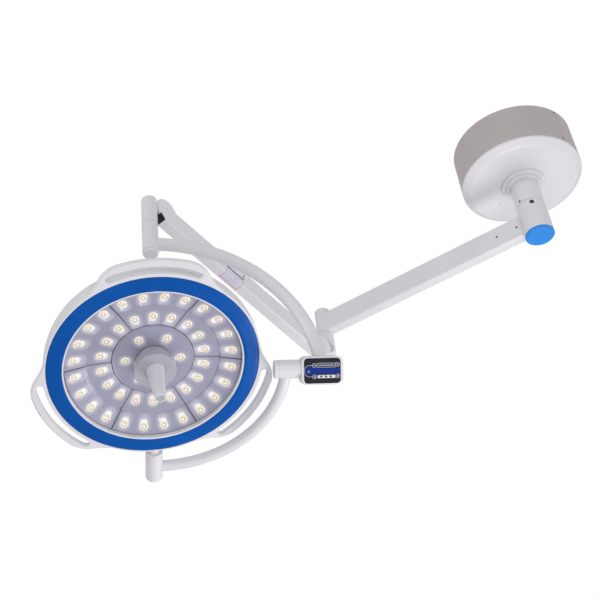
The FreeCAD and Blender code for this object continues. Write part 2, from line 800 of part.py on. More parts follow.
def end_spindle():
    body = turned([
        (0, -d.sleeve_top),
        (d.end_radius, -d.sleeve_top),
        (d.end_radius, 19, 9),
        (0, 19),
    ])
    shaft = cylinder(d.end_shaft_radius, 120, at(z=-214))
    pivot = at(-d.end_offset)
    seat = cross_pin(d.knuckle_radius + 0.7, 40, pivot)
    tongue = pivot_tongue(1)
    tongue.Placement = pivot
    solid = cut(fuse(cut(body, seat), tongue, shaft), *tongue_holes(pivot))
    whole("end_spindle", solid, END)
    whole("end_pins", pivot_pins(), END.multiply(pivot))
    sleeve = turned([
        (d.end_shaft_radius + 0.1, -(d.yoke_hub_top - 0.3)),
        (d.end_radius, -(d.yoke_hub_top - 0.3), 1.5),
        (d.end_radius, -(d.sleeve_top + 0.3), 1.5),
        (d.end_shaft_radius + 0.1, -(d.sleeve_top + 0.3)),
    ])
    part("lock_sleeve", sleeve, END)
    pad = block(4, 22, 24, -30.2, 0, -58)
    curve = cylinder(d.end_radius + 0.1, 60, at(z=-90))
    whole("end_bumper", cut(pad, curve), END)
    part("end_retainer", turned([
        (d.end_shaft_radius + 0.1, -213),
        (17.4, -213),
        (17.4, -206.4),
        (d.end_shaft_radius + 0.1, -206.4),
    ]), END)


# ---------------------------------------------------------------- outer yoke


def outer_yoke():
    part("yoke_hub", turned([
        (18, -d.yoke_hub_end),
        (d.end_radius, -d.yoke_hub_end),
        (d.end_radius, -d.yoke_hub_top, 1.5),
        (18, -d.yoke_hub_top),
    ]), END)
    part("yoke_bush", turned([
        (d.end_shaft_radius + d.running_gap, -206),
        (17.9, -206),
        (17.9, -(d.yoke_hub_top + 2)),
        (d.end_shaft_radius + d.running_gap, -(d.yoke_hub_top + 2)),
    ]), END)
    part("yoke_hub_cap", turned([
        (0, -(d.yoke_hub_end + 10)),
        (d.end_radius - 1.2, -(d.yoke_hub_end + 10), 4),
        (d.end_radius - 1.2, -(d.yoke_hub_end + 0.2)),
        (17.6, -(d.yoke_hub_end + 0.2)),
        (17.6, -(d.yoke_hub_end - 3)),
        (0, -(d.yoke_hub_end - 3)),
    ]), END)

    # The yoke is a quarter of a ring about the gimbal centre, in the upright plane of the tilt axis.
    upright = frame(Vector(), Vector(0, 0, 1), Vector(1, 0, 0))
    place = upright.multiply(spin(1))
    sweep = 85.5
    skin = primitive(
        "Torus", place, Radius1=d.outer_yoke_radius, Radius2=d.outer_yoke_tube, Angle3=sweep
    )
    hollow = primitive(
        "Torus",
        upright,
        Radius1=d.outer_yoke_radius,
        Radius2=d.outer_yoke_tube - 3,
        Angle3=sweep + 4,
    )
    hub_room = cylinder(d.end_radius + 0.1, 120, at(z=450))
    whole("outer_yoke_tube", cut(skin, hollow, hub_room), GIMBAL)

    socket = fuse(
        rod(d.barrel_radius, d.barrel_end + 0.4, 440),
        rod(21, 439, 500),
    )
    whole("tilt_socket", cut(socket, rod(d.tilt_shaft_radius, 420, 520)), GIMBAL)
    collar = rod(17, 374.4, 379.4)
    whole("tilt_shaft", fuse(rod(d.tilt_shaft_radius, 378, 499), collar), GIMBAL)


BUTTONS = {
    "power_button": (-42.5, -2.0),
    "dimmer_down_button": (-25.0, 16.5),
    "dimmer_up_button": (47.5, 18.0),
    "colour_warm_button": (-25.0, -18.0),
    "colour_cool_button": (47.5, -17.0),
}


def control_box():
    deep = float(d.box_half_depth)
    outline = rounded_rectangle(d.box_width, d.box_height, d.box_corner)
    inner_outline = rounded_rectangle(d.box_width - 6, d.box_height - 6, d.box_corner - 3)
    axis_height = 5.5

    rear = padded(outline, deep + 7.7)
    rear.Placement = at(z=-deep)
    rear_skin = rounded(
        rear, 7.0, lambda edge: all(abs(v.Point.z + deep) < 1e-6 for v in edge.Vertexes)
    )
    rear_cavity = padded(inner_outline, 60)
    rear_cavity.Placement = at(z=-deep + 3)
    upright = spin(-(90 + float(d.box_lean)), Vector(1, 0, 0))

    def tube_room():
        place = at(2.5, axis_height, 0).multiply(upright).multiply(at(z=10))
        return cylinder(d.outer_yoke_tube + 1, 90, place)

    socket_room = rod(21.3, -90, -40, at(0, axis_height, 0))
    whole("control_box_rear", cut(rear_skin, rear_cavity, tube_room(), socket_room), BOX)

    front = padded(outline, deep - 8)
    front.Placement = at(z=8)
    front_skin = rounded(
        front, 5.0, lambda edge: all(abs(v.Point.z - deep) < 1e-6 for v in edge.Vertexes)
    )
    front_cavity = padded(inner_outline, deep - 8 - 5)
    front_cavity.Placement = at(z=7)
    recess = padded(
        rounded_rectangle(d.keypad_width + 0.6, d.keypad_height + 0.6, d.keypad_corner), 10
    )
    recess.Placement = at(z=deep - 3)
    side_room = rod(21.3, -90, -40, at(0, axis_height, 0))
    whole("control_box_front", cut(front_skin, front_cavity, recess, tube_room(), side_room), BOX)

    keypad = padded(rounded_rectangle(d.keypad_width, d.keypad_height, d.keypad_corner), 3)
    keypad.Placement = at(z=deep - 2.9)
    holes = [
        cylinder(d.button_radius + 0.3, 12, at(x, y, deep - 6)) for x, y in BUTTONS.values()
    ]
    whole("keypad_panel", cut(keypad, *holes), BOX)
    for name, (x, y) in BUTTONS.items():
        button = turned([
            (0, 0),
            (d.button_radius, 0),
            (d.button_radius, 3.2, 0.6),
            (0, 3.2),
        ])
        part(name, button, BOX.multiply(at(x, y, deep - 2)))


# ---------------------------------------------------------------- inner yoke


def inner_yoke():
    radius = d.barrel_radius
    barrel = rod(radius, d.barrel_start + 14.3, d.barrel_end)
    bore = rod(20, 350, 440)
    whole("tilt_barrel", cut(barrel, bore), GIMBAL)
    cap = rounded(
        rod(radius - 0.4, d.barrel_start, d.barrel_start + 14),
        3.0,
        lambda edge: abs(edge.CenterOfMass.x - float(d.barrel_start)) < 1e-6,
    )
    whole("tilt_barrel_cap", cut(cap, rod(20, 370, 380)), GIMBAL)
    sleeve = rod(19.9, 380, 430)
    whole("tilt_bush", cut(sleeve, rod(d.tilt_shaft_radius + d.running_gap, 370, 440)), GIMBAL)

    # Quarter ring between the two barrels; its centre lies midway between the two axes.
    reach = float(d.inner_yoke_radius)
    back = float(d.pivot_setback) / 2
    middle = YOKE.multVec(Vector(0, 0, -back))
    start = YOKE.Rotation.multVec(Vector(reach, 0, back)).normalize()
    finish = YOKE.Rotation.multVec(Vector(0, -reach, -back))
    finish = (finish - start * finish.dot(start)).normalize()
    place = frame(middle, start, finish)
    skin = primitive(
        "Torus", place, Radius1=d.inner_yoke_radius, Radius2=d.inner_yoke_tube, Angle3=90
    )
    hollow = primitive(
        "Torus", place, Radius1=d.inner_yoke_radius, Radius2=d.inner_yoke_tube - 2.5, Angle3=90
    )
    barrel_room = rod(radius + 0.1, 340, 460, GIMBAL)
    pivot_room = rod(d.pivot_radius + 0.1, 340, 470, PIVOT.multiply(spin(-90)))
    whole("inner_yoke_tube", cut(skin, hollow, barrel_room, pivot_room), CEILING)

    along = PIVOT.multiply(Placement(Vector(), Rotation(Vector(1, 0, 0), 90)))
    part("pivot_barrel", turned([
        (d.tilt_shaft_radius + d.running_gap, d.pivot_start),
        (d.pivot_radius, d.pivot_start, 1.5),
        (d.pivot_radius, d.pivot_end, 10),
        (0, d.pivot_end),
        (0, 446),
        (d.tilt_shaft_radius + d.running_gap, 446),
    ]), along)


# ---------------------------------------------------------------- lamp head

GRIP_ANGLES = (-150, -30, 90)


def grip_outline():
    """One finger grip: full-radius arc, round shoulders and roots that run into the rim."""
    outer = float(d.grip_radius)
    rim = float(d.rim_radius)
    shoulder = float(d.grip_shoulder)
    root = float(d.grip_root)
    half = math.radians(float(d.grip_half_angle))
    near = outer - shoulder
    far = rim + root
    gap = shoulder + root
    swing = math.acos((near**2 + far**2 - gap**2) / (2 * near * far))

    def flank(sign):
        """From the outer arc's end to the rim, as the points of two tangent arcs."""
        shoulder_centre = polar(near, sign * half)
        root_centre = polar(far, sign * (half + swing))
        begin = polar(outer, sign * half)
        join = shoulder_centre + (root_centre - shoulder_centre) * (shoulder / gap)
        end = polar(rim, sign * (half + swing))
        first = begin + join - shoulder_centre * 2
        crest = shoulder_centre + first.normalize() * shoulder
        second = join + end - root_centre * 2
        valley = root_centre + second.normalize() * root
        return begin, crest, join, valley, end

    left = flank(1)
    right = flank(-1)
    inner = polar(rim - 20, 0)
    edges = [
        Part.Arc(right[0], polar(outer, 0), left[0]).toShape(),
        Part.Arc(left[0], left[1], left[2]).toShape(),
        Part.Arc(left[2], left[3], left[4]).toShape(),
        Part.LineSegment(left[4], inner).toShape(),
        Part.LineSegment(inner, right[4]).toShape(),
        Part.Arc(right[4], right[3], right[2]).toShape(),
        Part.Arc(right[2], right[1], right[0]).toShape(),
    ]
    return Part.Wire(edges)


def slot_outline():
    """One finger slot: a bent stadium between two radii."""
    inner = float(d.grip_slot_inner)
    outer = float(d.grip_slot_outer)
    half = math.radians(float(d.slot_half_angle))
    middle = (inner + outer) / 2
    end_radius = (outer - inner) / 2

    def tip(sign):
        tangent = Vector(-math.sin(sign * half), math.cos(sign * half), 0) * sign
        return polar(middle, sign * half) + tangent * end_radius

    edges = [
        Part.Arc(polar(outer, -half), polar(outer, 0), polar(outer, half)).toShape(),
        Part.Arc(polar(outer, half), tip(1), polar(inner, half)).toShape(),
        Part.Arc(polar(inner, half), polar(inner, 0), polar(inner, -half)).toShape(),
        Part.Arc(polar(inner, -half), tip(-1), polar(outer, -half)).toShape(),
    ]
    return Part.Wire(edges)


def slab(wire, low, high, angle):
    """Extrusion of a flat outline from low to high, turned about the head's axis."""
    outline = doc.addObject("Part::Feature", "Outline")
    outline.Shape = wire
    outline.Placement = spin(angle).multiply(at(z=low))
    solid = doc.addObject("Part::Extrusion", "Extrusion")
    solid.Base = outline
    solid.DirMode = "Custom"
    solid.Dir = Vector(0, 0, 1)
    solid.LengthFwd = high - low
    solid.Solid = True
    return solid


def head_frame():
    rim = turned([
        (300, -40),
        (d.rim_radius, -40),
        (d.rim_radius, -1, 2),
        (d.bezel_outer + 0.3, -1),
        (d.bezel_outer + 0.3, -10.2),
        (300, -10.2),
    ])

    back = float(d.grip_back)
    front = float(d.grip_front)

    def on_outline(edge):
        level = all(
            min(abs(v.Point.z + back), abs(v.Point.z + front)) < 1e-6
            for v in edge.Vertexes
        )
        middle = edge.valueAt((edge.FirstParameter + edge.LastParameter) / 2)
        return level and math.hypot(middle.x, middle.y) > float(d.rim_radius) + 0.5

    grips = [
        rounded(slab(grip_outline(), -back, -front, angle), 6.0, on_outline)
        for angle in GRIP_ANGLES
    ]
    plate = fuse(rim, *grips)
    bore = cylinder(300, 60, at(z=-50))
    bezel_room = cylinder(d.bezel_outer + 0.3, 20, at(z=-10.2))
    slots = [slab(slot_outline(), -50, 10, angle) for angle in GRIP_ANGLES]
    boss = rod(17, 322, 341.4, spin(-90).multiply(at(z=-d.head_depth)))
    pivot_hole = rod(d.tilt_shaft_radius, 290, 350, spin(-90).multiply(at(z=-d.head_depth)))
    solid = cut(fuse(cut(plate, bore, bezel_room, *slots), boss), pivot_hole)
    whole("head_frame", solid, HEAD)
    turn = PIVOT.multiply(spin(d.head_turn, Vector(0, 1, 0)))
    whole("pivot_shaft", group([rod(d.tilt_shaft_radius, 297, 440, spin(-90))]), turn)


def head_back():
    part("head_rear_cover", turned([
        (112, -86),
        (112, -89),
        (226, -89, 14),
        (322, -70, 12),
        (322, -40.3),
        (318.5, -40.3),
        (318.5, -67, 9),
        (226, -86, 10),
    ]), HEAD)
    disc = cylinder(111.4, 10, at(z=-92))
    fins = [
        block(66, 3, 12, 72, 0, -97.5, placement=spin(15 * i))
        for i in range(24)
    ]
    ring = cut(cylinder(111.4, 8, at(z=-99)), cylinder(107, 20, at(z=-105)))
    whole("heat_sink", fuse(disc, ring, *fins), HEAD)
    part("led_board", turned([
        (30, -61),
        (203, -52),
        (262, -32.5),
        (293, -22.5),
        (293, -19),
        (263, -29),
        (205, -48.5),
        (30, -57.2),
    ]), HEAD)


def bezel():
    part("bezel_ring", turned([
        (d.bezel_inner, -10),
        (d.bezel_outer, -10),
        (d.bezel_outer, 0, 3),
        (d.bezel_outer - 12, 2.2),
        (d.bezel_inner + 10, d.bezel_lift + 1.2),
        (d.bezel_inner, d.bezel_lift, 2),
    ]), HEAD)
    part("gasket_ring", turned([
        (268, -15),
        (d.bezel_inner - 0.2, -15),
        (d.bezel_inner - 0.2, 1.6),
        (268, 0.6),
    ]), HEAD)


def lamp_spots():
    """Placement of every lamp, with the panel height behind it."""
    rows = (
        (24, d.lamp_ring_outer, 7.5, -22.5),
        (18, d.lamp_ring_inner, 10.0, -43.5),
        (6, d.lamp_ring_centre, 0.0, -48.0),
    )
    return [
        (place, height)
        for count, radius, start, height in rows
        for place in around(count, radius, start)
    ]


def light_panel():
    ring = turned([
        (126, -50),
        (202, -40.5),
        (206, -36),
        (262, -17.5),
        (262, -14.5),
        (205, -33),
        (201, -37.5),
        (126, -47),
    ])
    gaps = [block(150, 1.3, 60, 195, 0, -30, placement=spin(60 * i)) for i in range(6)]
    holes = [
        cylinder(d.lens_radius + 0.6, 40, place.multiply(at(z=height - 20)))
        for place, height in lamp_spots()[:42]
    ]
    whole("light_sectors", cut(ring, *gaps, *holes), HEAD)
    disc = turned([
        (41, -50),
        (124, -50),
        (124, -46.5),
        (41, -46.5),
    ])
    centre_holes = [
        cylinder(d.lens_radius + 0.6, 40, place.multiply(at(z=height - 20)))
        for place, height in lamp_spots()[42:]
    ]
    whole("centre_panel", cut(disc, *centre_holes), HEAD)
    lenses = []
    for place, height in lamp_spots():
        lens = primitive(
            "Cone",
            place.multiply(at(z=height - 5)),
            Radius1=d.lens_radius,
            Radius2=d.lens_radius - 3.5,
            Height=9,
        )
        lenses.append(lens)
    whole("lamp_lenses", group(lenses), HEAD)


def handle():
    part("handle_cup", turned([
        (8, -56),
        (40, -56),
        (40, -46),
        (50, -46),
        (50, -32),
        (56, -30),
        (56, -16),
        (61, -14),
        (d.cup_radius, -8),
        (d.cup_radius, 17, 2.5),
        (31, 17),
        (31, 4),
        (8, 4),
    ]), HEAD)
    part("handle_grip", turned([
        (0, -50),
        (7.95, -50),
        (7.95, 4.4),
        (30.5, 4.4),
        (30.5, 14, 4),
        (d.grip_base, 24, 8),
        (d.grip_tip + 2, 120),
        (d.grip_tip, d.grip_reach, 2),
        (13, d.grip_reach),
        (13, 136),
        (0, 136),
    ]), HEAD)


# ---------------------------------------------------------------- build

for make in (
    ceiling_fixing, drop_column, canopy, power_supply, extension_arm, elbow_bracket, spring_arm,
    link_rod, end_spindle, outer_yoke, control_box, inner_yoke, head_frame, head_back, bezel,
    light_panel, handle,
):
    make()

doc.recompute()
faults = [obj.Label for obj in doc.Objects if {"Invalid", "Error"} & set(obj.State)]
for name, obj in parts.items():
    shape = obj.Shape
    if shape.isNull() or not shape.isValid() or not shape.Solids:
        faults.append(name)
if faults:
    raise RuntimeError(f"failed: {faults}")

os.makedirs("parts", exist_ok=True)
for name, obj in parts.items():
    obj.Shape.exportStep(f"parts/{name}.step")
print(len(parts), "nodes written")
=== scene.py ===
import json
import math

import bpy
from mathutils import Matrix, Vector


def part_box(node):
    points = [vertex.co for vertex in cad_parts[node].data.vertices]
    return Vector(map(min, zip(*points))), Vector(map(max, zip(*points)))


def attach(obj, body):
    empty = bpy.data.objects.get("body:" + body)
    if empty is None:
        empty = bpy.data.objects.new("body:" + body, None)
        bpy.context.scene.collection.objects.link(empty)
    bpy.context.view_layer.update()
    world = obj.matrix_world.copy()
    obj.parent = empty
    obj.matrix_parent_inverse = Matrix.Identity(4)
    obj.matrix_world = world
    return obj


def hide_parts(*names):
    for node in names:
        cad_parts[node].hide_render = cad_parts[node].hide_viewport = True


# Ceiling-mounted dental operating light: materials, lamp optics, printed keypad, label, light and
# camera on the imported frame. Lengths are millimetres in the frame of the piece that they belong to;
# the studio's floor, lights and camera are in metres.

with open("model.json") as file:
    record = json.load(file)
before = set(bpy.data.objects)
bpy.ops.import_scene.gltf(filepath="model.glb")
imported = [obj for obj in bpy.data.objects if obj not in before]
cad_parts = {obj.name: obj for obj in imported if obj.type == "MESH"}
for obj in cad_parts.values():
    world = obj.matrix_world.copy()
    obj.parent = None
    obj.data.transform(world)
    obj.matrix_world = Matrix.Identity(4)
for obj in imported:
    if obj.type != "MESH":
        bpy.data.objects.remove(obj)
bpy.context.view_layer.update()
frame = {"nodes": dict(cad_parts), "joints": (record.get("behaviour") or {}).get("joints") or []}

MM = 0.001
TAU = 2 * math.pi
KEYPAD_THICK = 3.0
joints = {joint["name"]: joint for joint in frame["joints"]}


# ---------------------------------------------------------------- frames


def axes(origin, x_axis, y_axis):
    """Matrix whose local X and Y lie along the given directions."""
    x_axis = Vector(x_axis).normalized()
    y_axis = Vector(y_axis).normalized()
    z_axis = x_axis.cross(y_axis)
    matrix = Matrix((x_axis, y_axis, z_axis)).transposed().to_4x4()
    matrix.translation = origin
    return matrix


def middle(node):
    low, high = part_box(node)
    return (low + high) / 2


def axis_of(name):
    return Vector(joints[name]["axis"]).normalized()


def pivot_of(name):
    return Vector(joints[name]["pos_m"])


def turn(degrees):
    return Matrix.Rotation(math.radians(degrees), 4, "Z")


def shift(x, y, z):
    return Matrix.Translation(Vector((x, y, z)) * MM)


# Lamp head: Z out of its face along the handle. Keypad: on its face, Z outwards. Spring arm: X along
# it from the elbow pivot, Z up. Column: the frame of the ceiling.
face_out = axis_of("handle_focus")
head_y = -axis_of("head_turn")
HEAD = axes(pivot_of("handle_focus"), head_y.cross(face_out), head_y)

pad_out = -axis_of("power_press")
pad_x = axis_of("head_tilt")
pad_face = middle("keypad_panel") + pad_out * (KEYPAD_THICK / 2) * MM
PAD = axes(pad_face, pad_x, pad_out.cross(pad_x))

arm_along = pivot_of("end_levelling") - pivot_of("arm_tilt")
SPRING = axes(pivot_of("arm_tilt"), arm_along, -axis_of("arm_tilt"))

COLUMN = Matrix.Identity(4)


# ---------------------------------------------------------------- materials

TONE_STOPS = (0.3, 0.7)
ROUGHNESS_SPAN = (0.25, 0.75)
DRIFT_SCALE = 5.0
SMUDGE_SCALE = 23.0
GRAIN_STRENGTH = 0.25


def linear(red, green, blue):
    """Linear colour from 0-255 display values."""
    values = [c / 255 for c in (red, green, blue)]
    return [c / 12.92 if c <= 0.04045 else ((c + 0.055) / 1.055) ** 2.4 for c in values] + [1.0]


def shade(colour, amount):
    return [min(1.0, c * amount) for c in colour[:3]] + [1.0]


class Tree:
    """A material's node tree, with short calls to add and join nodes."""

    def __init__(self, name):
        self.material = bpy.data.materials.new(name)
        self.material.use_nodes = True
        self.nodes = self.material.node_tree.nodes
        self.links = self.material.node_tree.links
        self.shader = self.nodes["Principled BSDF"]
        self.place = self.nodes.new("ShaderNodeTexCoord").outputs["Object"]

    def join(self, source, target):
        self.links.new(source, target)

    def noise(self, scale, detail=3.0, stretch=None):
        place = self.place
        if stretch:
            mapping = self.nodes.new("ShaderNodeMapping")
            mapping.inputs["Scale"].default_value = stretch
            self.join(place, mapping.inputs["Vector"])
            place = mapping.outputs["Vector"]
        node = self.nodes.new("ShaderNodeTexNoise")
        node.inputs["Scale"].default_value = scale
        node.inputs["Detail"].default_value = detail
        self.join(place, node.inputs["Vector"])
        return node.outputs["Fac"]

    def tint(self, colour, scale, dark, light, stretch=None):
        """Base colour that drifts slowly between two shades of colour."""
        slow = self.noise(scale, 4.0, stretch)
        node = self.nodes.new("ShaderNodeValToRGB")
        for element, stop, amount in zip(node.color_ramp.elements, TONE_STOPS, (dark, light)):
            element.position = stop
            element.color = shade(colour, amount)
        self.join(slow, node.inputs["Fac"])
        self.join(node.outputs["Color"], self.shader.inputs["Base Color"])

    def roughen(self, factor, low, high):
        """Roughness from low to high as factor crosses the middle of its range."""
        node = self.nodes.new("ShaderNodeMapRange")
        node.inputs["From Min"].default_value = ROUGHNESS_SPAN[0]
        node.inputs["From Max"].default_value = ROUGHNESS_SPAN[1]
        node.inputs["To Min"].default_value = low
        node.inputs["To Max"].default_value = high
        self.join(factor, node.inputs["Value"])
        self.join(node.outputs["Result"], self.shader.inputs["Roughness"])

    def bump(self, height, strength, distance):
        node = self.nodes.new("ShaderNodeBump")
        node.inputs["Strength"].default_value = strength
        node.inputs["Distance"].default_value = distance
        self.join(height, node.inputs["Height"])
        self.join(node.outputs["Normal"], self.shader.inputs["Normal"])

    def glow(self, colour, strength):
        """Emission of strength times an attribute of the mesh: lamp glow on the lenses, painted lamp
        light on the panels.
        """
        attribute = self.nodes.new("ShaderNodeAttribute")
        attribute.attribute_name = "glow"
        node = self.nodes.new("ShaderNodeMath")
        node.operation = "MULTIPLY"
        node.inputs[1].default_value = strength
        self.join(attribute.outputs["Fac"], node.inputs[0])
        self.join(node.outputs["Value"], self.shader.inputs["Emission Strength"])
        self.shader.inputs["Emission Color"].default_value = colour

    def set_sockets(self, sockets):
        """Plain values for the shader's sockets, named with _ for a space."""
        for socket, value in sockets.items():
            self.shader.inputs[socket.replace("_", " ")].default_value = value


def finish(name, colour, gloss, grain, depth, drift=0.05, stretch=None, **sockets):
    """Paint, plastic or metal: slow drift of tone, gloss that varies, and a fine surface grain."""
    tree = Tree(name)
    tree.tint(colour, DRIFT_SCALE, 1 - drift, 1 + drift * 0.6, stretch)
    fine = tree.noise(grain, 2.0, stretch)
    smudge = tree.noise(SMUDGE_SCALE, 5.0)
    tree.roughen(smudge, gloss * 0.85, gloss * 1.2)
    tree.bump(fine, GRAIN_STRENGTH, depth)
    tree.set_sockets(sockets)
    return tree.material


def glowing_and_painted_light(name, colour, gloss, warm, strength, **sockets):
    """Emissive surface, as bright as an attribute of its mesh says: the lenses' own lamp light, and on
    the panels painted light standing in for the lamps' light on the wells.
    """
    tree = Tree(name)
    tree.tint(colour, 9.0, 0.94, 1.05)
    tree.roughen(tree.noise(40.0), gloss * 0.85, gloss * 1.15)
    tree.bump(tree.noise(900.0, 1.0), 0.15, 0.00004)
    tree.glow(warm, strength)
    tree.set_sockets(sockets)
    return tree.material


METAL = {"Metallic": 1.0}
LOOKS = {
    "painted_white": finish(
        "white_enamel", linear(226, 224, 227), 0.34, 700.0, 0.00008, 0.03,
        Coat_Weight=0.25, Coat_Roughness=0.15,
    ),
    "canopy_paint": finish(
        "grey_enamel", linear(188, 179, 178), 0.42, 700.0, 0.00008, 0.05,
        Coat_Weight=0.15, Coat_Roughness=0.25,
    ),
    "white_plastic": finish(
        "white_moulding", linear(228, 226, 229), 0.30, 1400.0, 0.00004, 0.03,
        Coat_Weight=0.2, Coat_Roughness=0.12,
    ),
    "steel": finish(
        "turned_steel", linear(178, 180, 184), 0.28, 500.0, 0.00003, 0.08, (1, 1, 14), **METAL
    ),
    "bronze": finish("sintered_bronze", linear(176, 138, 84), 0.42, 1600.0, 0.00006, 0.1, **METAL),
    "aluminium": finish("cast_aluminium", linear(188, 190, 194), 0.45, 900.0, 0.0001, 0.08, **METAL),
    "blue_plastic": finish(
        "blue_moulding", linear(0, 83, 168), 0.3, 1200.0, 0.00003, 0.12,
        Specular_IOR_Level=0.12,
    ),
    "blue_cap": finish(
        "light_blue_moulding", linear(44, 140, 226), 0.3, 1200.0, 0.00003, 0.06,
        Specular_IOR_Level=0.25,
    ),
    "panel_grey": finish("lavender_moulding", linear(150, 150, 178), 0.3, 900.0, 0.00003, 0.06),
    "dark_board": finish("black_board", linear(34, 34, 38), 0.5, 500.0, 0.0001, 0.2),
    "lens": finish("clear_moulding", linear(240, 238, 228), 0.12, 900.0, 0.00003, 0.03),
    "frosted": finish(
        "frosted_moulding", linear(206, 206, 216), 0.36, 1500.0, 0.00004, 0.03,
        Transmission_Weight=0.35, IOR=1.46, Coat_Weight=0.4, Coat_Roughness=0.1,
    ),
    "grip": finish("grip_moulding", linear(222, 222, 226), 0.38, 1500.0, 0.00005, 0.03),
    "keypad": finish(
        "keypad_film", linear(42, 40, 50), 0.3, 1800.0, 0.00003, 0.08, Specular_IOR_Level=0.12
    ),
    "button": finish("button_caps", linear(74, 78, 96), 0.3, 1500.0, 0.00003, 0.06),
    # Black rubber; the same material paints shade in the column's seam and lock slot.
    "rubber": finish("black_rubber", linear(44, 38, 42), 0.6, 900.0, 0.0001, 0.15),
    "zinc": finish("plated_zinc", linear(150, 150, 156), 0.35, 900.0, 0.00004, 0.15, **METAL),
}
# Painted light: the panel's emission stands in for the lamps' light falling into the wells and round
# them.
PAINTED_LIGHT_PANEL = glowing_and_painted_light(
    "panel_lit", linear(162, 160, 182), 0.24, (1.0, 0.93, 0.80, 1.0), 0.95,
    Coat_Weight=0.5, Coat_Roughness=0.08,
)
LENS = glowing_and_painted_light(
    "lens_lit", linear(176, 166, 148), 0.08, (1.0, 0.94, 0.82, 1.0), 0.66,
    Coat_Weight=1.0, Coat_Roughness=0.02,
)
INK_WHITE = finish("white_ink", linear(222, 224, 232), 0.35, 2000.0, 0.00002, 0.04)
INK_BLUE = finish(
    "blue_ink", linear(22, 54, 140), 0.28, 2000.0, 0.00002, 0.08, Specular_IOR_Level=0.12
)
INK_DARK = finish(
    "dark_ink", linear(32, 34, 50), 0.28, 2000.0, 0.00002, 0.08, Specular_IOR_Level=0.12
)
LABEL_WHITE = finish("label_film", linear(226, 224, 236), 0.3, 1500.0, 0.00002, 0.03)
LABEL_RED = finish("label_red", linear(190, 60, 78), 0.35, 1500.0, 0.00002, 0.08)
LABEL_BLUE = finish("label_blue", linear(112, 128, 176), 0.35, 1500.0, 0.00002, 0.08)
LABEL_DARK = finish("label_dark", linear(84, 48, 78), 0.35, 1500.0, 0.00002, 0.08)

for node in frame["nodes"].values():
    node.data.materials[0] = LOOKS[node.data.materials[0].name]


# ---------------------------------------------------------------- mesh helpers


def mesh_of(name, points, faces, material, glow=None):
    """Mesh from points in millimetres, with an emission value for each point where it needs one: lamp
    glow on the lenses, painted lamp light on the panels.
    """
    mesh = bpy.data.meshes.new(name)
    mesh.from_pydata([Vector(p) * MM for p in points], [], faces)
    mesh.update()
    if glow is not None:
        mesh.attributes.new("glow", "FLOAT", "POINT").data.foreach_set("value", glow)
    mesh.materials.append(material)
    return mesh


def shown(name, mesh, matrix, body, smooth=True):
    """Object of the mesh, placed by matrix and riding on body."""
    for polygon in mesh.polygons:
        polygon.use_smooth = smooth
    obj = bpy.data.objects.new(name, mesh)
    bpy.context.scene.collection.objects.link(obj)
    obj.matrix_world = matrix
    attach(obj, body)
    return obj


def lathe(profile, count, wave=None):
    """Points and faces of the section (radius, height) turned about Z; wave shifts each radius."""
    points = []
    faces = []
    for step in range(count):
        angle = TAU * step / count
        for index, (radius, height) in enumerate(profile):
            reach = radius + (wave(index, step) if wave else 0.0)
            points.append((reach * math.cos(angle), reach * math.sin(angle), height))
    rows = len(profile)
    for step in range(count):
        after = (step + 1) % count
        for index in range(rows - 1):
            faces.append((
                step * rows + index,
                after * rows + index,
                after * rows + index + 1,
                step * rows + index + 1,
            ))
    return points, faces


def plate(outline, low, high):
    """Points and faces of a flat outline raised from low to high."""
    count = len(outline)
    points = [(x, y, low) for x, y in outline] + [(x, y, high) for x, y in outline]
    faces = [tuple(range(count, 2 * count)), tuple(reversed(range(count)))]
    for i in range(count):
        j = (i + 1) % count
        faces.append((i, j, count + j, count + i))
    return points, faces


def ribbon(path, width, low, high, closed=False):
    """Points and faces of a line of even width along a flat path."""
    count = len(path)
    left = []
    right = []
    for i, (x, y) in enumerate(path):
        before = path[i - 1] if closed or i else path[i]
        after = path[(i + 1) % count] if closed or i < count - 1 else path[i]
        along = Vector((after[0] - before[0], after[1] - before[1])).normalized()
        side = Vector((-along.y, along.x)) * (width / 2)
        left.append((x + side.x, y + side.y))
        right.append((x - side.x, y - side.y))
    points = [(x, y, z) for z in (low, high) for x, y in left + right]
    faces = []
    spans = count if closed else count - 1
    for i in range(spans):
        j = (i + 1) % count
        faces.append((2 * count + i, 3 * count + i, 3 * count + j, 2 * count + j))
        faces.append((i, j, count + j, count + i))
        faces.append((i, 2 * count + i, 2 * count + j, j))
        faces.append((count + i, count + j, 3 * count + j, 3 * count + i))
    if not closed:
        end = count - 1
        faces.append((0, count, 3 * count, 2 * count))
        faces.append((end, 2 * count + end, 3 * count + end, count + end))
    return points, faces


def joined(shapes):
    """One set of points and faces from several."""
    points = []
    faces = []
    for more_points, more_faces in shapes:
        base = len(points)
        points += more_points
        faces += [tuple(base + i for i in face) for face in more_faces]
    return points, faces


def arc(centre_x, centre_y, radius, start, end, count=24):
    """Points of a circular arc, angles in degrees."""
    angles = [math.radians(start + (end - start) * i / count) for i in range(count + 1)]
    return [(centre_x + radius * math.cos(a), centre_y + radius * math.sin(a)) for a in angles]


def rounded_box(centre_x, centre_y, width, height, corner):
    """Outline of a rectangle with round corners."""
    outline = []
    for sign_x, sign_y, start in ((1, 1, 0), (-1, 1, 90), (-1, -1, 180), (1, -1, 270)):
        x = centre_x + sign_x * (width / 2 - corner)
        y = centre_y + sign_y * (height / 2 - corner)
        outline += arc(x, y, corner, start, start + 90, 6)
    return outline


def disc(centre_x, centre_y, radius):
    return arc(centre_x, centre_y, radius, 0, 360)[:-1]


# ---------------------------------------------------------------- lamps' places

